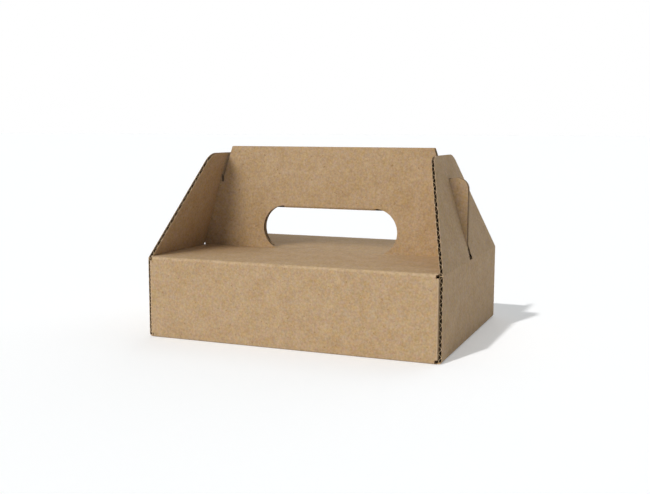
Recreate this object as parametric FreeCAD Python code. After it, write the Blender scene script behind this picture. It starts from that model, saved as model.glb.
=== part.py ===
"""Carry box folded from one die-cut sheet of fluted board.

A shallow closed tray, whose two top panels turn up at the middle into a double carry
handle. The upper part of each end wall is a lock flap: it leans in on the handle's
slanted side, and the handle's ear stands through its slot. Sizes are in millimetres.
X runs across the end walls, the front faces -Y, and the origin is the centre of the
base, on the surface that the box stands on.
"""
import FreeCAD, Part
import math
import os

V = FreeCAD.Vector

# Folded tray
box_width = 260.0        # over the two end walls
box_depth = 203.0        # over the front and back walls
tray_height = 70.0       # up to the outer face of the top panels
board = 2.8              # thickness of the fluted board
fold_radius = 2.6        # outside of a creased edge
end_setback = 2.5        # cut edges of the end walls behind the front wall's face
corner_fold_radius = 1.0  # outside of the crease between the front wall and a corner flap
relief = 3.4             # height of the small opening where two creases meet at a corner
relief_width = 2.4
crushed_board = 0.7      # thickness left of the panels above and below that opening
crushed_length = 14.0    # how far back from the front wall they are crushed
panel_gap = 0.1          # between two panels that are folded against each other

# Flutes inside the board
flute_pitch = 6.25
liner = 0.25             # flat paper on each face
medium = 0.2             # wavy paper between the liners
knee_margin = 0.5        # crushed flat on each side of a lock flap's crease
base_margin = 1.5        # from the underside to the lowest flute of an end wall
groove = 2.5             # depth of the open gap between the liners at a lock flap's top edge

# Lock flaps
knee_drop = 1.5          # crease of the lock flap below the top panels
lean_deg = 16.4          # how far a lock flap leans in
lock_length = 92.4       # from its crease to its top edge
lock_top_width = 64.5    # top edge before its corners are rounded
lock_corner_radius = 18.0
slot_foot = 0.4          # from the crease to the slot's lower end
slot_spare = 0.65        # of the slot above the ear
slot_end_growth = 1.2    # wider on each side at both ends of the slot
slot_foot_length = 3.4   # of the wider lower end
slot_head_length = 7.0   # of the wider upper end
lock_clearance = 0.3     # of the slot and the lock flap round the handle

# Handle
handle_top = 163.1       # above the surface that the box stands on
handle_plane = -3.0      # y of the plane in which the two handle boards meet
handle_top_width = 192.4
handle_corner_radius = 0.8
handle_foot = 1.5        # height above the top panels up to which the flutes are crushed
handle_flutes = 41       # from ear to ear
ear_reach = 71.1         # from the lock flap's crease up to the ear's upper edge
ear_corner_radius = 10.0
hole_length = 128.6
hole_radius = 20.6
hole_rise = 18.8         # centre of the hand hole above the top panels
back_hole_growth = 0.1   # hand hole of the back board, larger all round

# Grip flap of the hand hole
grip_width = 87.6
grip_sink = 1.8          # folded edge below the top of the hand hole
grip_length = 28.0       # upright leaf behind the handle
grip_corner_radius = 8.0

# Corner flaps behind the end walls
corner_flap_length = 66.0
corner_flap_step = 5.0   # how much it narrows right behind its crease
corner_flap_taper = 4.0
corner_flap_radius = 10.0

half_width = box_width / 2
half_depth = box_depth / 2
end_inside = half_width - board
end_half = half_depth - end_setback
knee = tray_height - knee_drop
lean = math.radians(lean_deg)
mitre = board * math.tan(lean / 2)
panel_half = end_inside - board * (1 / math.cos(lean) - 1) - knee_drop * math.tan(lean) - lock_clearance
slot_half = board + panel_gap + lock_clearance
hole_centre = tray_height + hole_rise
grip_under = hole_centre + hole_radius - grip_sink
grip_back = board + panel_gap + lock_clearance + board


def on_plane(plane, u, v):
    """Point (u, v) of one of the planes XY, XZ and YZ through the origin."""
    return {"XY": V(u, v, 0), "XZ": V(u, 0, v), "YZ": V(0, u, v)}[plane]


def rounded_face(plane, corners):
    """Flat face through corners (u, v, radius); a radius of 0 leaves a corner sharp."""
    points = [on_plane(plane, u, v) for u, v, _ in corners]
    ends = []
    arcs = []
    for i, (_, _, radius) in enumerate(corners):
        here = points[i]
        back = (points[i - 1] - here).normalize()
        ahead = (points[(i + 1) % len(points)] - here).normalize()
        if radius == 0:
            ends.append((here, here))
            arcs.append(None)
            continue
        half_angle = back.getAngle(ahead) / 2
        run = radius / math.tan(half_angle)
        centre = here + (back + ahead).normalize() * (radius / math.sin(half_angle))
        middle = centre + (here - centre).normalize() * radius
        ends.append((here + back * run, here + ahead * run))
        arcs.append(middle)
    edges = []
    for i, arc in enumerate(arcs):
        start, end = ends[i]
        following = ends[(i + 1) % len(ends)][0]
        if arc is not None:
            edges.append(Part.Arc(start, arc, end).toShape())
        edges.append(Part.LineSegment(end, following).toShape())
    return Part.Face(Part.Wire(edges))


def slab(plane, corners, low, high):
    """Outline drawn on a plane and made solid from low to high along its normal."""
    normal = {"XY": V(0, 0, 1), "XZ": V(0, 1, 0), "YZ": V(1, 0, 0)}[plane]
    face = rounded_face(plane, corners)
    face.translate(normal * low)
    return face.extrude(normal * (high - low))


def sharp(points):
    """Corners without a radius."""
    return [(u, v, 0) for u, v in points]


def mirror_x(shape):
    """Copy on the other side of the plane x = 0."""
    return shape.mirror(V(0, 0, 0), V(1, 0, 0))


def mirror_y(shape):
    """Copy on the other side of the plane y = 0."""
    return shape.mirror(V(0, 0, 0), V(0, 1, 0))


def at_corners(shape):
    """Shape of the front right corner, for all four corners."""
    front = [shape, mirror_x(shape)]
    return front + [mirror_y(each) for each in front]


def cavity(along, side, pitch, waist):
    """Channel between the wavy paper and one liner, as (depth, along) corners.

    Depth runs from the board's outer face inwards, and side is 1 for the channel
    against the outer liner and -1 for the one against the inner liner. The waist
    gives it one more corner on each side, halfway in.
    """
    wide = board / 2 - liner
    narrow = wide - medium
    shape = [(0.395, wide), (0.089, -narrow)]
    if waist:
        shape.insert(1, (0.25, 0.15))
    half = [(pitch * share, side * level) for share, level in shape]
    left = [(board / 2 - level, along - reach) for reach, level in half]
    right = [(board / 2 - level, along + reach) for reach, level in reversed(half)]
    return left + right


def shortened(corners, low, high):
    """Cavity with all of its corners brought between two heights, or None if it vanishes."""
    kept = []
    for depth, height in corners:
        corner = (depth, min(max(height, low), high))
        if corner not in kept:
            kept.append(corner)
    heights = [height for _, height in kept]
    return kept if max(heights) - min(heights) > medium else None


def channels_along_y(outside, knee_end, far_end, half_length):
    """Flute channels of a board whose outer face is at x = outside, counted from its knee."""
    low, high = min(knee_end, far_end), max(knee_end, far_end)
    step = math.copysign(flute_pitch, far_end - knee_end)
    channels = []
    for i in range(int((high - low) / flute_pitch) + 2):
        for half, side in ((0.0, -1), (0.5, 1)):
            corners = cavity(knee_end + (i + half) * step, side, flute_pitch, True)
            corners = shortened(corners, low, high)
            if corners:
                outline = sharp([(outside - depth, height) for depth, height in corners])
                channels.append(slab("XZ", outline, -half_length, half_length))
    return channels


def channels_along_z(outside, start, end):
    """Upright flute channels from ear to ear, of a board whose outer face is at y = outside."""
    pitch = 2 * panel_half / handle_flutes
    first = -panel_half
    outer = [cavity(first + i * pitch, 1, pitch, False) for i in range(handle_flutes + 1)]
    inner = [cavity(first + (i + 0.5) * pitch, -1, pitch, False) for i in range(handle_flutes)]
    outlines = [sharp([(along, outside + depth) for depth, along in corners])
                for corners in outer + inner]
    return [slab("XY", outline, start, end) for outline in outlines]


def base_and_end_walls():
    """Bottom panel with the two end walls folded up, their flutes open front and back."""
    outline = [
        (-half_width, knee, 0), (-half_width, 0, fold_radius),
        (half_width, 0, fold_radius), (half_width, knee, 0),
        (end_inside, knee - mitre, 0), (end_inside, board, 0),
        (-end_inside, board, 0), (-end_inside, knee - mitre, 0),
    ]
    panels = slab("XZ", outline, -end_half, end_half)
    channels = channels_along_y(half_width, knee - knee_margin, base_margin, end_half)
    return panels.cut(channels + [mirror_x(channel) for channel in channels])


def sleeve():
    """Front wall, back wall, base and top panels with their rounded folds."""
    low, high = board, tray_height - board
    inner_half = half_depth - board
    reach = panel_half
    outer = slab("YZ", [(-half_depth, 0, fold_radius), (half_depth, 0, fold_radius),
                        (half_depth, tray_height, fold_radius),
                        (-half_depth, tray_height, fold_radius)], -reach, reach)
    inner = slab("YZ", sharp([(-inner_half, low), (inner_half, low), (inner_half, high),
                              (-inner_half, high)]), -reach, reach)
    middle = slab("YZ", sharp([(-half_depth + relief, high - 1), (half_depth - relief, high - 1),
                               (half_depth - relief, tray_height + 1),
                               (-half_depth + relief, tray_height + 1)]), -reach, reach)
    return outer.cut([inner, middle])


def corner_relief():
    """Space at the front right corner where the panels are cut away or crushed thin."""
    left, right = end_inside - relief_width, end_inside
    front, back = -half_depth - 1, -half_depth + crushed_length
    return slab("XY", sharp([(left, front), (right, front), (right, back), (left, back)]),
                crushed_board, tray_height - crushed_board)


def corner_flap():
    """Front wall's right end, bent back into the flap that lies behind the end wall."""
    outside = end_inside - panel_gap
    start = end_inside - relief_width - board
    tip = -half_depth + corner_flap_length
    bend = slab("XY", [(start, -half_depth, 0), (outside, -half_depth, corner_fold_radius),
                       (outside, tip, 0), (outside - board, tip, 0),
                       (outside - board, -half_depth + board, 0),
                       (start, -half_depth + board, 0)], relief, tray_height - relief)
    low, high = relief, tray_height - relief
    root = -half_depth + board
    shoulder = root + corner_flap_step
    outline = [(-half_depth - 1, low, 0), (root, low, 0),
               (shoulder, low + corner_flap_step, 0),
               (tip, low + corner_flap_step + corner_flap_taper, corner_flap_radius),
               (tip, high - corner_flap_step - corner_flap_taper, corner_flap_radius),
               (shoulder, high - corner_flap_step, 0),
               (root, high, 0), (-half_depth - 1, high, 0)]
    return bend.common(slab("YZ", outline, start - 1, outside + 1))


def handle_outline():
    """Handle board with its ears, drawn from the underside of the top panels up."""
    rise = math.tan(lean)
    side_foot = half_width - board / math.cos(lean) - lock_clearance
    top_half = handle_top_width / 2
    slope = (side_foot - top_half) / (handle_top - knee)
    ear_inner_x = half_width - ear_reach * math.sin(lean)
    ear_inner_z = knee + ear_reach * math.cos(lean)
    shift = (ear_inner_x - side_foot + (ear_inner_z - knee) * slope) / (1 + slope * rise)
    neck = (ear_inner_x - shift, ear_inner_z - shift * rise)
    ear_tip_z = ear_inner_z + (panel_half - ear_inner_x) * rise
    right = [(panel_half, tray_height - board, 0),
             (panel_half, ear_tip_z, ear_corner_radius),
             (neck[0], neck[1], 0),
             (top_half, handle_top, handle_corner_radius)]
    left = [(-x, z, radius) for x, z, radius in reversed(right)]
    return right + left


def hand_hole(growth, ceiling):
    """Opening of the hand hole in one board, from the top panels up to a ceiling."""
    radius = hole_radius + growth
    half = hole_length / 2 + growth
    top = hole_centre + radius
    bottom = hole_centre - radius
    stadium = slab("XZ", [(-half, bottom, radius - 0.001), (half, bottom, radius - 0.001),
                          (half, top, radius - 0.001), (-half, top, radius - 0.001)],
                   -half_depth, half_depth)
    limits = slab("XZ", sharp([(-half_width, tray_height), (half_width, tray_height),
                               (half_width, ceiling), (-half_width, ceiling)]),
                  -half_depth, half_depth)
    return stadium.common(limits)


def top_panel_and_handle(depth):
    """Top panel turned up into a front board of the handle, without its hole.

    Depth runs from the wall's outer face to the plane between the handle boards,
    which is at y = 0 here.
    """
    start = -depth + relief
    front = -board - panel_gap
    under = tray_height - board
    outline = [(start, tray_height, 0), (front, tray_height, 0), (front, handle_top, 0),
               (-panel_gap, handle_top, 0), (-panel_gap, under, fold_radius), (start, under, 0)]
    bent = slab("YZ", outline, -panel_half, panel_half)
    bent = bent.common(slab("XZ", handle_outline(), -half_width, half_width))
    return bent.cut(channels_along_z(front, tray_height + handle_foot, handle_top))


def grip_root():
    """Front board folded back under both boards at the top of the hand hole."""
    front = -board - panel_gap
    top = grip_under + board
    return slab("YZ", [(front, grip_under, fold_radius), (grip_back, grip_under, 0),
                       (grip_back - board, top, 0), (front, top, 0)],
                -grip_width / 2, grip_width / 2)


def grip_passage():
    """Cut in the back board's hole that lets the folded grip flap through."""
    half = grip_width / 2 + lock_clearance
    top = grip_under + board + lock_clearance
    return slab("XZ", sharp([(-half, hole_centre), (half, hole_centre), (half, top),
                             (-half, top)]), 0, half_depth)


def carton():
    """Everything that stays still: tray, top panels, double handle and corner flaps."""
    front_lid = top_panel_and_handle(half_depth + handle_plane)
    back_lid = mirror_y(top_panel_and_handle(half_depth - handle_plane))
    back_lid = back_lid.cut([hand_hole(back_hole_growth, grip_under), grip_passage()])
    front_lid = front_lid.cut(hand_hole(0, handle_top)).fuse(grip_root())
    for lid in (front_lid, back_lid):
        lid.translate(V(0, handle_plane, 0))
    tray = base_and_end_walls().fuse([sleeve(), front_lid, back_lid])
    tray = tray.cut(at_corners(corner_relief()))
    return tray.fuse(at_corners(corner_flap())).removeSplitter()


def lock_slot():
    """Slot for the handle's ear in an upright lock flap, a little wider at both ends."""
    foot = slot_foot + slot_foot_length
    top = ear_reach + slot_spare
    head = top - slot_head_length
    end_half_width = slot_half + slot_end_growth
    right = [(end_half_width, slot_foot), (end_half_width, foot), (slot_half, foot),
             (slot_half, head), (end_half_width, head), (end_half_width, top)]
    left = [(-y, z) for y, z in reversed(right)]
    outline = [(handle_plane + y, z) for y, z in right + left]
    return slab("YZ", sharp(outline), -board, 0)


def lock_flap():
    """Right lock flap, leaning in from the crease at the top of its end wall."""
    section = sharp([(0, 0), (0, lock_length), (-board, lock_length), (-board, mitre)])
    panel = slab("XZ", section, -end_half, end_half)
    edge_gap = slab("XZ", sharp([(-liner, lock_length - groove), (-liner, lock_length),
                                 (liner - board, lock_length),
                                 (liner - board, lock_length - groove)]), -end_half, end_half)
    channels = channels_along_y(0, knee_margin, lock_length, end_half)
    top_half = lock_top_width / 2
    outline = [(-end_half, 0, 0), (end_half, 0, 0),
               (handle_plane + top_half, lock_length, lock_corner_radius),
               (handle_plane - top_half, lock_length, lock_corner_radius)]
    panel = panel.cut([edge_gap] + channels).common(slab("YZ", outline, -board, 0))
    panel = panel.cut(lock_slot())
    panel.rotate(V(0, 0, 0), V(0, 1, 0), -lean_deg)
    panel.translate(V(half_width, 0, knee))
    return panel


def grip_flap():
    """Leaf of the hand hole's flap, folded up behind the back board."""
    half = grip_width / 2
    section = sharp([(grip_back, grip_under), (grip_back, grip_under + grip_length),
                     (grip_back - board, grip_under + grip_length),
                     (grip_back - board, grip_under + board)])
    leaf = slab("YZ", section, -half, half)
    top = grip_under + grip_length
    outline = [(-half, grip_under, 0), (half, grip_under, 0), (half, top, grip_corner_radius),
               (-half, top, grip_corner_radius)]
    leaf = leaf.common(slab("XZ", outline, 0, half_depth))
    leaf.translate(V(0, handle_plane, 0))
    return leaf


def main():
    """Write one STEP file for each piece."""
    os.makedirs("parts", exist_ok=True)
    right_flap = lock_flap()
    pieces = {
        "carton": carton(),
        "right_lock_flap": right_flap,
        "left_lock_flap": mirror_x(right_flap),
        "grip_flap": grip_flap(),
    }
    for name, shape in pieces.items():
        shape.exportStep("parts/" + name + ".step")
        print(name, len(shape.Solids), "solid", round(shape.Volume), "mm3", shape.isValid())


main()
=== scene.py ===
"""Looks of a carry box folded from brown fluted board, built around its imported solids."""
import logging
import math
from dataclasses import dataclass
from enum import Enum
from typing import Dict, List, Sequence, Tuple

import bmesh
import bpy
from mathutils import Matrix, Vector


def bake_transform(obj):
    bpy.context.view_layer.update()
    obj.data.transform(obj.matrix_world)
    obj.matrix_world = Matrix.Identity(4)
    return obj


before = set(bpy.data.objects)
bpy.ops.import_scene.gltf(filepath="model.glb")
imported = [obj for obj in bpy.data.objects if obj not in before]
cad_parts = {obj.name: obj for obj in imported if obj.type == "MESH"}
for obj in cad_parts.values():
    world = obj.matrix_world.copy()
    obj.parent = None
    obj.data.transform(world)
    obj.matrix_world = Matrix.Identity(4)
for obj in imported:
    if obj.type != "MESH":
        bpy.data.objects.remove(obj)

Colour = Tuple[float, float, float]
Point = Tuple[float, float, float]
Ends = Tuple[float, float]
Band = Tuple[float, float]
Socket = bpy.types.NodeSocket

log = logging.getLogger("carry_box")

MM = 0.001
FLUTE_PITCH = 6.25 * MM
BOARD = 2.8 * MM
LINER = 0.25 * MM
HALF_WIDTH = 130.0 * MM
HALF_DEPTH = 101.5 * MM
TRAY_HEIGHT = 70.0 * MM
KNEE = 68.5 * MM
LEAN = math.radians(16.4)
HANDLE_PLANE = -3.0 * MM
PANEL_GAP = 0.1 * MM
GRIP_GAP = 0.3 * MM
HAIR = 0.01 * MM
WHITE: Colour = (1.0, 1.0, 1.0)


class Panel(Enum):
    """Part of the folded sheet, by the way its flutes lie."""

    CARTON = "end walls with flutes along Y, handle with upright flutes"
    LOCK_FLAP = "leaning flap with flutes along Y"
    GRIP_FLAP = "upright leaf with upright flutes"
    CREASE = "stretched inner liner without flutes"


@dataclass(frozen=True)
class Grain:
    """Noise with its own number of waves per metre along X, Y and Z.

    Detail is its number of octaves and rough the strength of the finer ones. Shift sets
    it apart from a like noise, in waves.
    """

    waves: Point
    detail: float
    rough: float = 0.55
    shift: float = 0.0


class Graph:
    """Short way of building the node tree of one material or of the world."""

    def __init__(self, tree: bpy.types.NodeTree) -> None:
        """Start from an empty tree.

        Args:
            tree: Node tree that is cleared and filled.
        """
        tree.nodes.clear()
        self.tree = tree

    def add(self, kind: str, **settings: object) -> bpy.types.Node:
        """Add a node.

        Args:
            kind: Blender's name of the node's type.
            **settings: Properties of the node, set as they are.

        Returns:
            The new node.
        """
        node = self.tree.nodes.new(kind)
        for name, value in settings.items():
            setattr(node, name, value)
        return node

    def feed(self, node: bpy.types.Node, **inputs: object) -> bpy.types.Node:
        """Set or link a node's inputs.

        Args:
            node: Node whose inputs are set.
            **inputs: A value or an output socket for each input, named with low lines
                in place of blanks, or in_0, in_1 and so on for inputs by number.

        Returns:
            The same node.
        """
        for name, value in inputs.items():
            if name.startswith("in_"):
                socket = node.inputs[int(name[3:])]
            else:
                socket = node.inputs[name.replace("_", " ")]
            if isinstance(value, Socket):
                self.tree.links.new(value, socket)
            else:
                socket.default_value = value
        return node

    def math(self, operation: str, *values: object, clamp: bool = False) -> Socket:
        """Add a Math node.

        Args:
            operation: Blender's name of the sum.
            *values: Numbers or output sockets, in order.
            clamp: Whether the result stays between 0 and 1.

        Returns:
            The result's socket.
        """
        node = self.add("ShaderNodeMath", operation=operation, use_clamp=clamp)
        self.feed(node, **{f"in_{i}": value for i, value in enumerate(values)})
        return node.outputs[0]

    def times(self, *values: object) -> Socket:
        """Multiply values, which for masks leaves 1 only where all of them are 1."""
        return self._chain("MULTIPLY", values)

    def most(self, *values: object) -> Socket:
        """Take the highest of some values."""
        return self._chain("MAXIMUM", values)

    def _chain(self, operation: str, values: Sequence[object]) -> Socket:
        """Apply a sum of two values over and over, from the first value to the last.

        Args:
            operation: Blender's name of the sum.
            values: Two or more numbers or output sockets.

        Returns:
            The result's socket.
        """
        first, second, *others = values
        result = self.math(operation, first, second)
        for value in others:
            result = self.math(operation, result, value)
        return result

    def absolute(self, value: Socket) -> Socket:
        """Drop a value's sign."""
        return self.math("ABSOLUTE", value)

    def above(self, value: Socket, limit: float) -> Socket:
        """Find where a value is over a limit."""
        return self.math("GREATER_THAN", value, limit)

    def below(self, value: Socket, limit: float) -> Socket:
        """Find where a value is under a limit."""
        return self.math("LESS_THAN", value, limit)

    def within(self, value: Socket, band: Band) -> Socket:
        """Find where a value lies in a band, given by its middle and half its width."""
        return self.math("COMPARE", value, *band)

    def mix(self, share: object, first: object, second: object) -> Socket:
        """Mix two colours.

        Args:
            share: Amount of the second colour.
            first: Colour or socket.
            second: Colour or socket.

        Returns:
            The mixed colour's socket.
        """
        node = self.add("ShaderNodeMix", data_type="RGBA")
        colours = [(*colour, 1.0) if isinstance(colour, tuple) else colour
                   for colour in (first, second)]
        self.feed(node, in_0=share, in_6=colours[0], in_7=colours[1])
        return node.outputs[2]

    def parts(self, vector: Socket) -> List[Socket]:
        """Split a vector into its X, Y and Z."""
        return list(self.feed(self.add("ShaderNodeSeparateXYZ"), Vector=vector).outputs)

    def noise(self, place: Socket, grain: Grain) -> Socket:
        """Add a noise.

        Args:
            place: Coordinates in metres.
            grain: Fineness and kind of the noise.

        Returns:
            The noise's value, about 0.5 on average.
        """
        mapping = self.feed(self.add("ShaderNodeMapping"), Vector=place, Scale=grain.waves,
                            Location=(grain.shift, grain.shift, grain.shift))
        noise = self.feed(self.add("ShaderNodeTexNoise"), Vector=mapping.outputs[0],
                          Scale=1.0, Detail=grain.detail, Roughness=grain.rough)
        return noise.outputs[0]

    def spread(self, value: Socket, share: float) -> Socket:
        """Centre a noise around 0.5 on 0 and scale it."""
        return self.times(self.math("SUBTRACT", value, 0.5), share)

    def ramp(self, value: Socket, ends: Ends) -> Socket:
        """Stretch a value so that the first end becomes 0 and the second 1, clamped.

        Args:
            value: Socket that is stretched.
            ends: Values that give 0 and 1.

        Returns:
            The stretched value's socket.
        """
        node = self.add("ShaderNodeMapRange", clamp=True)
        self.feed(node, in_0=value, in_1=ends[0], in_2=ends[1], in_3=0.0, in_4=1.0)
        return node.outputs[0]


class Surface:
    """Point of the board that a material colours: where it is and which way it faces.

    Out and back are its distances from the middle of the box along X and Y. Sideways,
    frontal and upright say how far it faces along X, Y and Z, whichever way round.
    """

    def __init__(self, graph: Graph) -> None:
        """Read the point's own coordinates and normal.

        Args:
            graph: Graph of the material.
        """
        source = graph.add("ShaderNodeTexCoord")
        self.spot: Socket = source.outputs["Object"]
        self.x, self.y, self.z = graph.parts(self.spot)
        self.out = graph.absolute(self.x)
        self.back = graph.absolute(self.y)
        normal = graph.parts(source.outputs["Normal"])
        self.sideways, self.frontal, self.upright = (graph.absolute(part) for part in normal)


@dataclass(frozen=True)
class Pulp:
    """Face of the liner: two browns in clouds and grains, tinted both ways, with flecks."""

    ochre: Colour = (0.352, 0.214, 0.080)
    pale: Colour = (0.592, 0.440, 0.307)
    clouds: Grain = Grain((70.0, 70.0, 58.0), 3.0, 0.72)
    cloud_share: float = 1.1
    grains: Grain = Grain((550.0, 550.0, 520.0), 1.5, 0.8)
    grain_share: float = 1.9
    yellowish: Colour = (0.581, 0.387, 0.121)
    greyish: Colour = (0.382, 0.275, 0.256)
    tint: Grain = Grain((320.0, 320.0, 300.0), 1.5, 0.95, 3.7)
    tint_ends: Ends = (0.30, 0.70)
    tint_share: float = 0.36
    reddish: Colour = (0.639, 0.295, 0.186)
    greenish: Colour = (0.310, 0.358, 0.201)
    flush: Grain = Grain((520.0, 520.0, 430.0), 2.0, 0.8, 9.1)
    flush_ends: Ends = (0.32, 0.68)
    flush_share: float = 0.16
    pulp_flecks: Grain = Grain((610.0, 610.0, 430.0), 1.0)
    pulp_ends: Ends = (0.69, 0.77)
    pulp_share: float = 0.45
    bark: Colour = (0.300, 0.170, 0.070)
    bark_flecks: Grain = Grain((430.0, 430.0, 430.0), 1.0)
    bark_ends: Ends = (0.285, 0.235)
    bark_share: float = 0.75

    def colour(self, graph: Graph, spot: Socket) -> Socket:
        """Mix the liner's colour.

        Args:
            graph: Graph that is added to.
            spot: Object coordinates.

        Returns:
            The colour's socket.
        """
        tone = graph.math("ADD", graph.spread(graph.noise(spot, self.clouds), self.cloud_share),
                          graph.spread(graph.noise(spot, self.grains), self.grain_share))
        tone = graph.math("ADD", tone, 0.5, clamp=True)
        colour = graph.mix(tone, self.ochre, self.pale)
        tint = graph.ramp(graph.noise(spot, self.tint), self.tint_ends)
        colour = graph.mix(self.tint_share, colour,
                           graph.mix(tint, self.yellowish, self.greyish))
        flush = graph.ramp(graph.noise(spot, self.flush), self.flush_ends)
        colour = graph.mix(self.flush_share, colour,
                           graph.mix(flush, self.reddish, self.greenish))
        pulp = graph.ramp(graph.noise(spot, self.pulp_flecks), self.pulp_ends)
        bark = graph.ramp(graph.noise(spot, self.bark_flecks), self.bark_ends)
        colour = graph.mix(graph.times(pulp, self.pulp_share), colour, self.pale)
        return graph.mix(graph.times(bark, self.bark_share), colour, self.bark)


@dataclass(frozen=True)
class Folds:
    """Outside of the folds: the liner stretched and worn pale, with a painted highlight over
    the bends, and painted light on the flaps' folds beside the end walls.
    """

    # Worn pale liner colour, also serving as a painted highlight over the bends.
    rubbed_and_highlight: Colour = (0.640, 0.468, 0.296)
    bend: Ends = (0.08, 0.36)
    patches: Grain = Grain((420.0, 500.0, 500.0), 2.0)
    patch_ends: Ends = (0.34, 0.66)
    share: float = 0.70
    # Corner flaps' folds beside the end walls: painted light lifts the shade of their crevice.
    corner: Band = (126.4 * MM, 0.85 * MM)
    corner_depth: float = BOARD + 0.4 * MM
    front_limit: float = 0.97
    top_limit: float = 0.5

    def mask(self, graph: Graph, at: Surface) -> Socket:
        """Find the worn folds with their painted highlight, and the flaps' folds beside the end
        walls, which get painted light.

        Args:
            graph: Graph that is added to.
            at: Point that is coloured.

        Returns:
            A share from 0 to 1.
        """
        turned = graph.times(at.frontal, graph.most(at.sideways, at.upright))
        patches = graph.ramp(graph.noise(at.spot, self.patches), self.patch_ends)
        rubbed_and_highlight = graph.times(graph.ramp(turned, self.bend), patches, self.share)
        # Painted light in the shaded crevice beside each end wall.
        corner = graph.times(graph.within(at.out, self.corner),
                             graph.above(at.back, HALF_DEPTH - self.corner_depth),
                             graph.below(at.frontal, self.front_limit),
                             graph.below(at.upright, self.top_limit))
        return graph.most(rubbed_and_highlight, corner)


@dataclass(frozen=True)
class EndBoard:
    """Paper between the liners of the end walls and lock flaps, whose flutes run along Y."""

    low_margin: float = 1.55 * MM
    inside_limit: float = 0.5
    cut_limit: float = 0.9

    def masks(self, graph: Graph, at: Surface, panel: Panel) -> Tuple[Socket, Socket]:
        """Find the insides of the flutes and the cut edge of the wavy paper.

        Args:
            graph: Graph that is added to.
            at: Point that is coloured.
            panel: Carton or lock flap.

        Returns:
            Masks of the insides and of the cut edge.
        """
        half = BOARD / 2 - LINER - HAIR
        if panel is Panel.LOCK_FLAP:
            depth = graph.math("ADD", graph.times(at.out, math.cos(LEAN)),
                               graph.times(at.z, math.sin(LEAN)))
            outside = HALF_WIDTH * math.cos(LEAN) + KNEE * math.sin(LEAN)
            between = graph.within(depth, (outside - BOARD / 2, half))
        else:
            wall = (KNEE / 2, KNEE / 2 - self.low_margin)
            between = graph.times(graph.within(at.out, (HALF_WIDTH - BOARD / 2, half)),
                                  graph.within(at.z, wall))
        # The insides get the dark paper colour, partly painted shade.
        return (graph.times(between, graph.below(at.frontal, self.inside_limit)),
                graph.times(between, graph.above(at.frontal, self.cut_limit)))


@dataclass(frozen=True)
class HandleBoard:
    """Handle's flutes, and marks for the gaps at it that are too small for the solids.

    Painted shade stands in for their dark: at the ends of the grip flap's fold, at the upper
    ends of the lock flaps' slot openings, and, fainter, along the lower edge of the hand hole.
    """

    flute_frontal: float = 0.3
    flute_upright: float = 0.2
    nick_depth: Band = (PANEL_GAP, 0.05 * MM)
    nick_height: Band = (108.6 * MM, 1.1 * MM)
    nick_width: Band = (48.5 * MM, 5.0 * MM)
    slot_height: Band = (132.8 * MM, 2.8 * MM)
    slot_width: Band = (106.5 * MM, 1.2 * MM)
    slot_front: float = -5.8 * MM
    foot_depth: Band = (HANDLE_PLANE, 0.6 * MM)
    foot_height: Band = (TRAY_HEIGHT, 0.3 * MM)
    foot_width: float = 62.0 * MM
    foot_share: float = 0.35

    def mask(self, graph: Graph, at: Surface) -> Socket:
        """Find the insides of the flutes, and the marks.

        Args:
            graph: Graph that is added to.
            at: Point that is coloured.

        Returns:
            1 in the flutes and in the painted shade at the fold's ends and slot heads, a
            fainter painted shade along the hand hole's lower edge, and 0 elsewhere.
        """
        off = graph.absolute(graph.math("SUBTRACT", at.y, HANDLE_PLANE))
        board = (PANEL_GAP + BOARD / 2, BOARD / 2 - LINER - HAIR)
        flutes = graph.times(graph.within(off, board), graph.above(at.z, TRAY_HEIGHT),
                             graph.above(at.frontal, self.flute_frontal),
                             graph.below(at.upright, self.flute_upright))
        # Painted shade on the back board's face, seen through the notches at the ends of the
        # grip flap's fold.
        nick_shade = graph.times(graph.within(off, self.nick_depth),
                            graph.within(at.z, self.nick_height),
                            graph.within(at.out, self.nick_width))
        # Painted shade on the ear's front face at the upper end of the lock flap's slot.
        slot_shade = graph.times(graph.within(at.out, self.slot_width),
                            graph.within(at.z, self.slot_height),
                            graph.below(at.y, self.slot_front))
        # Faint painted shade along the seam at the lower edge of the hand hole.
        foot_shade = graph.times(graph.within(at.y, self.foot_depth),
                           graph.within(at.z, self.foot_height),
                           graph.below(at.out, self.foot_width), self.foot_share)
        return graph.most(flutes, nick_shade, slot_shade, foot_shade)


@dataclass(frozen=True)
class GripBoard:
    """Wavy paper drawn on the grip flap's top edge, where its flutes end."""

    paper: float = 0.25 * MM
    edge_limit: float = 0.5

    def mask(self, graph: Graph, at: Surface) -> Socket:
        """Find the gaps beside the wavy paper.

        Args:
            graph: Graph that is added to.
            at: Point that is coloured.

        Returns:
            1 in the drawn gaps and 0 elsewhere.
        """
        half = BOARD / 2 - LINER
        middle = HANDLE_PLANE + PANEL_GAP + GRIP_GAP + BOARD * 1.5
        depth = graph.math("SUBTRACT", at.y, middle)
        turn = graph.times(at.x, 2 * math.pi / FLUTE_PITCH)
        wave = graph.times(graph.math("SINE", turn), half)
        gap = graph.above(graph.absolute(graph.math("SUBTRACT", depth, wave)), self.paper)
        return graph.times(gap, graph.within(depth, (0.0, half)),
                           graph.below(at.frontal, self.edge_limit))


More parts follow.
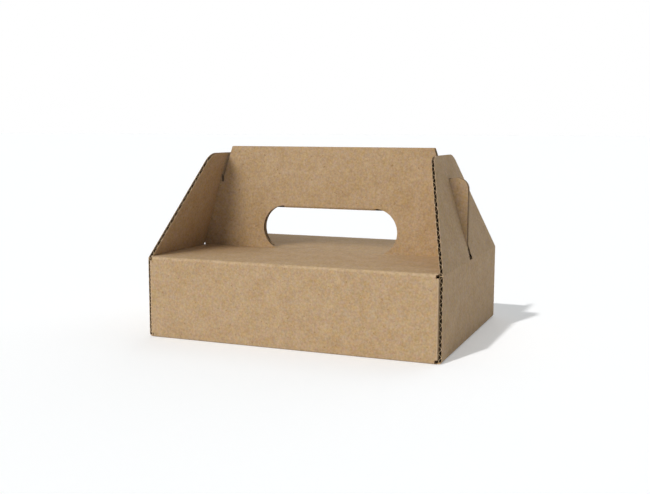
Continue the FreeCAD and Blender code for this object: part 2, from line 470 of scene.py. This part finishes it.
@dataclass(frozen=True)
class Relief:
    """Fibres and hollows of the liner, and the faint ripple of the flutes under it."""

    fibres: Grain = Grain((1500.0, 1500.0, 1100.0), 2.0)
    hollows: Grain = Grain((330.0, 330.0, 260.0), 2.0)
    hollow_share: float = 1.5
    fibre_strength: float = 0.25
    ripple_strength: float = 0.12
    depth: float = 0.05 * MM
    end_wall: float = 0.6

    def normal(self, graph: Graph, at: Surface) -> Socket:
        """Raise the fibres and the ripple.

        Args:
            graph: Graph that is added to.
            at: Point that is coloured.

        Returns:
            The bumped normal.
        """
        hollows = graph.times(graph.noise(at.spot, self.hollows), self.hollow_share)
        height = graph.math("ADD", graph.noise(at.spot, self.fibres), hollows)
        grain = graph.feed(graph.add("ShaderNodeBump"), Strength=self.fibre_strength,
                           Distance=self.depth, Height=height)
        end = graph.above(at.sideways, self.end_wall)
        along = graph.math("ADD", graph.times(end, at.z),
                           graph.times(graph.math("SUBTRACT", 1.0, end), at.x))
        ripple = graph.math("SINE", graph.times(along, 2 * math.pi / FLUTE_PITCH))
        flutes = graph.feed(graph.add("ShaderNodeBump"), Strength=self.ripple_strength,
                            Distance=self.depth, Height=ripple, Normal=grain.outputs[0])
        return flutes.outputs[0]


@dataclass(frozen=True)
class KraftFinish:
    """Brown kraft board: mottled liner, worn folds with a painted highlight, and darker wavy
    paper inside, its dark partly painted shade.
    """

    name: str
    panel: Panel
    # Dark of the wavy paper and the flute insides: the paper's own darker tone plus painted
    # shade; also the painted shade of the handle's small gaps.
    medium_and_shade: Colour = (0.125, 0.088, 0.054)
    cut: Colour = (0.820, 0.620, 0.400)
    roughness: float = 0.82
    gloss: float = 0.28
    pulp: Pulp = Pulp()
    folds: Folds = Folds()
    end_board: EndBoard = EndBoard()
    handle_board: HandleBoard = HandleBoard()
    grip_board: GripBoard = GripBoard()
    relief: Relief = Relief()

    def material(self) -> bpy.types.Material:
        """Build the finish.

        Returns:
            A material that reads object coordinates.
        """
        material = bpy.data.materials.new(self.name)
        material.use_nodes = True
        graph = Graph(material.node_tree)
        at = Surface(graph)
        colour = self.pulp.colour(graph, at.spot)
        # Worn folds with painted highlight, and painted light beside the end walls.
        colour = graph.mix(self.folds.mask(graph, at), colour, self.folds.rubbed_and_highlight)
        colour = self._open_board(graph, at, colour)
        shader = graph.feed(graph.add("ShaderNodeBsdfPrincipled"), Base_Color=colour,
                            Roughness=self.roughness, Normal=self.relief.normal(graph, at))
        shader.inputs["Specular IOR Level"].default_value = self.gloss
        graph.feed(graph.add("ShaderNodeOutputMaterial"), Surface=shader.outputs[0])
        return material

    def _open_board(self, graph: Graph, at: Surface, colour: Socket) -> Socket:
        """Colour what shows of the board's inside.

        Args:
            graph: Graph that is added to.
            at: Point that is coloured.
            colour: The liner's colour.

        Returns:
            The colour with the wavy paper and its gaps.
        """
        if self.panel is Panel.CREASE:
            return colour
        if self.panel is Panel.GRIP_FLAP:
            # The drawn gaps get the dark paper colour: painted shade of the open flutes.
            return graph.mix(self.grip_board.mask(graph, at), colour, self.medium_and_shade)
        inside, cut = self.end_board.masks(graph, at, self.panel)
        if self.panel is Panel.CARTON:
            inside = graph.most(inside, self.handle_board.mask(graph, at))
        # Flute insides and the handle's gap marks get the dark paper colour, partly painted
        # shade.
        return graph.mix(inside, graph.mix(cut, colour, self.cut), self.medium_and_shade)


def seen(graph: Graph) -> Socket:
    """Find the rays by which the camera and the glossy surfaces see a thing.

    Args:
        graph: Graph that is added to.

    Returns:
        1 for those rays and 0 for the others.
    """
    path = graph.add("ShaderNodeLightPath")
    return graph.math("ADD", path.outputs["Is Camera Ray"], path.outputs["Is Glossy Ray"])


@dataclass(frozen=True)
class FloorFinish:
    """Pale floor that shows as white and keeps the box's shadow."""

    name: str = "pale_floor"
    albedo: float = 0.8
    lift: float = 0.197

    def material(self) -> bpy.types.Material:
        """Build the finish.

        Returns:
            A diffuse material, lifted to white where the camera or gloss sees it.
        """
        material = bpy.data.materials.new(self.name)
        material.use_nodes = True
        graph = Graph(material.node_tree)
        diffuse = graph.feed(graph.add("ShaderNodeBsdfDiffuse"),
                             Color=(self.albedo, self.albedo, self.albedo, 1.0))
        glow = graph.feed(graph.add("ShaderNodeEmission"), Color=(*WHITE, 1.0),
                          Strength=graph.times(seen(graph), self.lift))
        both = graph.feed(graph.add("ShaderNodeAddShader"), in_0=diffuse.outputs[0],
                          in_1=glow.outputs[0])
        graph.feed(graph.add("ShaderNodeOutputMaterial"), Surface=both.outputs[0])
        return material


def mesh_object(name: str, shape: bmesh.types.BMesh, material: bpy.types.Material
                ) -> bpy.types.Object:
    """Turn a finished bmesh into an object at the origin.

    Args:
        name: Name of the piece.
        shape: Mesh in the object's frame, in metres. It is freed.
        material: Finish of all its faces.

    Returns:
        The linked object.
    """
    mesh = bpy.data.meshes.new(name)
    shape.to_mesh(mesh)
    shape.free()
    mesh.materials.append(material)
    piece = bpy.data.objects.new(name, mesh)
    bpy.context.scene.collection.objects.link(piece)
    return piece


@dataclass
class CarryBoxShell:
    """The folded sheet itself: its panels and flaps come from the frame."""

    finishes: Tuple[KraftFinish, ...] = (
        KraftFinish("kraft_carton", Panel.CARTON),
        KraftFinish("kraft_lock_flap", Panel.LOCK_FLAP),
        KraftFinish("kraft_grip_flap", Panel.GRIP_FLAP),
    )
    panels: Tuple[Tuple[str, Panel], ...] = (
        ("carton", Panel.CARTON),
        ("right_lock_flap", Panel.LOCK_FLAP),
        ("left_lock_flap", Panel.LOCK_FLAP),
        ("grip_flap", Panel.GRIP_FLAP),
    )

    def dress(self) -> None:
        """Give each panel and flap of the frame its paper."""
        materials = {finish.panel: finish.material() for finish in self.finishes}
        for name, panel in self.panels:
            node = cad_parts[name]
            node.data.materials.clear()
            node.data.materials.append(materials[panel])
            log.info("dressed %s with %s", name, materials[panel].name)


@dataclass
class CreaseFan:
    """Inner liner at a flap's crease, folded flat in the mitre and cut into thin layers.

    The hinge is a point of the crease, inward is the way from it across the board, and
    ahead is the way towards the flap. Span is the crease's reach to both sides of it, and
    weld is how near to a fold a corner counts as lying on it.
    """

    name: str
    body: str
    hinge: Point
    inward: Point
    ahead: Point
    span: float
    depth: float
    thickness: float = 0.06 * MM
    folds: int = 12
    slack: float = 0.04 * MM
    weld: float = 1e-9

    def build(self, material: bpy.types.Material) -> bpy.types.Object:
        """Build the fan and place it at the crease between the carton and the flap.

        Args:
            material: Finish of the liner.

        Returns:
            The finished piece.
        """
        inward, ahead = Vector(self.inward).normalized(), Vector(self.ahead).normalized()
        shape = self._folded_strip()
        turn = Matrix((inward, ahead.cross(inward), ahead)).transposed()
        bmesh.ops.transform(shape, matrix=Matrix.Translation(self.hinge) @ turn.to_4x4(),
                            verts=shape.verts)
        bmesh.ops.recalc_face_normals(shape, faces=shape.faces)
        piece = mesh_object(self.name, shape, material)
        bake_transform(piece)
        log.info("built %s between carton and %s", self.name, self.body)
        return piece

    def _folded_strip(self) -> bmesh.types.BMesh:
        """Build the strip with its folds, with X inward, Y along the crease and Z ahead.

        Returns:
            The strip's mesh.
        """
        shape = bmesh.new()
        bmesh.ops.create_cube(shape, size=1.0)
        bmesh.ops.scale(shape, verts=shape.verts,
                        vec=(self.depth - 2 * self.slack, 2 * self.span, self.thickness))
        bmesh.ops.translate(shape, verts=shape.verts, vec=(self.depth / 2, 0.0, 0.0))
        for fold in range(1, self.folds):
            level = self.thickness * (fold / self.folds - 0.5)
            bmesh.ops.bisect_plane(shape, geom=shape.verts[:] + shape.edges[:] + shape.faces[:],
                                   dist=self.weld, plane_co=(0.0, 0.0, level),
                                   plane_no=(0.0, 0.0, 1.0))
        return shape


@dataclass
class Creases:
    """The three creases that turn in the model."""

    flap_span: float = 98.8 * MM
    grip_span: float = 43.6 * MM
    grip_hinge: Point = (0.0, 3.0 * MM, 107.6 * MM)

    def build(self) -> List[bpy.types.Object]:
        """Build a fan at each crease.

        Returns:
            The three pieces.
        """
        material = KraftFinish("kraft_crease", Panel.CREASE).material()
        fans = [self._flap_fan("right_lock_flap", 1), self._flap_fan("left_lock_flap", -1),
                CreaseFan("grip_flap_crease_liner", "grip_flap", self.grip_hinge,
                          (0.0, -1.0, 1.0), (0.0, 1.0, 1.0), self.grip_span,
                          BOARD * math.sqrt(2.0))]
        return [fan.build(material) for fan in fans]

    def _flap_fan(self, flap: str, side: int) -> CreaseFan:
        """Plan the fan of a lock flap, in the mitre between the flap and its end wall.

        Args:
            flap: Name of the flap.
            side: 1 on the right and -1 on the left.

        Returns:
            The fan.
        """
        half = LEAN / 2
        return CreaseFan(flap + "_crease_liner", flap, (side * HALF_WIDTH, 0.0, KNEE),
                         (-side * math.cos(half), 0.0, -math.sin(half)),
                         (-side * math.sin(half), 0.0, math.cos(half)), self.flap_span,
                         BOARD / math.cos(half))


class Lit(Enum):
    """What a lamp lights."""

    FLOOR = "floor"
    BOX = "box"
    BOTH = "floor and box"


@dataclass(frozen=True)
class Lamp:
    """Distant lamp, whose spread is the angle over it as seen from the box, in degrees."""

    name: str
    way: Point
    strength: float
    spread: float
    colour: Colour
    lit: Lit

    def hang(self, pieces: List[bpy.types.Object]) -> None:
        """Hang the lamp so that it lights some pieces only.

        Args:
            pieces: Objects that it lights.
        """
        data = bpy.data.lights.new(self.name, "SUN")
        data.energy = self.strength
        data.color = self.colour
        data.angle = math.radians(self.spread)
        lamp = bpy.data.objects.new(self.name, data)
        lamp.rotation_euler = Vector(self.way).to_track_quat("-Z", "Y").to_euler()
        bpy.context.scene.collection.objects.link(lamp)
        group = bpy.data.collections.new(self.name + "_reach")
        for piece in pieces:
            group.objects.link(piece)
        lamp.light_linking.receiver_collection = group


@dataclass
class Studio:
    """Floor, light and camera round the box. The camera's angles are in degrees."""

    camera_place: Point = (0.29858, -0.76314, 0.17720)
    camera_azimuth: float = 21.745
    camera_pitch: float = 7.269
    camera_roll: float = 0.178
    lens: float = 50.39
    sensor_width: float = 36.0
    clip: Ends = (0.01, 200.0)
    lamps: Tuple[Lamp, ...] = (
        Lamp("shadow_light", (0.225, 0.678, -0.700), 2.4, 2.2, WHITE, Lit.FLOOR),
        Lamp("key_light", (0.30, 0.80, -0.52), 1.56, 25.0, (1.06, 1.0, 0.88), Lit.BOX),
        Lamp("side_light", (0.62, 0.48, -0.62), 0.71, 50.0, (0.93, 1.0, 1.09), Lit.BOX),
        Lamp("back_light", (-0.15, -0.55, -0.82), 0.69, 80.0, (0.98, 1.0, 1.0), Lit.BOTH),
        Lamp("low_back_light", (-0.12, -0.85, -0.50), 0.55, 64.0, WHITE, Lit.FLOOR),
    )
    sky_strength: float = 0.205
    sky_colour: Colour = (0.93, 1.0, 1.04)
    floor_reach: float = 40.0

    def build(self, box: List[bpy.types.Object]) -> None:
        """Make the floor, the lamps, the sky and the camera.

        Args:
            box: All pieces of the box.
        """
        floor = self._floor()
        reach = {Lit.FLOOR: [floor], Lit.BOX: box, Lit.BOTH: [floor] + box}
        for lamp in self.lamps:
            lamp.hang(reach[lamp.lit])
        self._sky()
        self._camera()
        log.info("built the studio with %d lamps", len(self.lamps))

    def _floor(self) -> bpy.types.Object:
        """Lay a wide pale floor under the box.

        Returns:
            The floor.
        """
        shape = bmesh.new()
        bmesh.ops.create_grid(shape, x_segments=1, y_segments=1, size=self.floor_reach)
        floor = mesh_object("floor", shape, FloorFinish().material())
        return floor

    def _sky(self) -> None:
        """Fill the shadows from all round, and show as white behind the box."""
        world = bpy.data.worlds.new("studio_sky")
        world.use_nodes = True
        graph = Graph(world.node_tree)
        fill = graph.feed(graph.add("ShaderNodeBackground"), Color=(*self.sky_colour, 1.0),
                          Strength=self.sky_strength)
        white = graph.feed(graph.add("ShaderNodeBackground"), Color=(*WHITE, 1.0),
                           Strength=1.0)
        both = graph.feed(graph.add("ShaderNodeMixShader"), in_0=seen(graph),
                          in_1=fill.outputs[0], in_2=white.outputs[0])
        graph.feed(graph.add("ShaderNodeOutputWorld"), Surface=both.outputs[0])
        bpy.context.scene.world = world

    def _camera(self) -> None:
        """Stand the camera where the photograph was taken from."""
        data = bpy.data.cameras.new("camera")
        data.lens = self.lens
        data.sensor_width = self.sensor_width
        data.clip_start, data.clip_end = self.clip
        camera = bpy.data.objects.new("camera", data)
        turn = (Matrix.Rotation(math.radians(self.camera_azimuth), 4, "Z")
                @ Matrix.Rotation(math.radians(90.0 - self.camera_pitch), 4, "X")
                @ Matrix.Rotation(math.radians(self.camera_roll), 4, "Z"))
        camera.matrix_world = Matrix.Translation(self.camera_place) @ turn
        bpy.context.scene.collection.objects.link(camera)
        bpy.context.scene.camera = camera


def main() -> None:
    """Build the box and the studio in order."""
    logging.basicConfig(level=logging.INFO, format="%(name)s: %(message)s")
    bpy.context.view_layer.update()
    bpy.context.scene.view_settings.view_transform = "Standard"
    CarryBoxShell().dress()
    creases = Creases().build()
    Studio().build(list(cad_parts.values()) + creases)


if __name__ == "__main__":
    main()
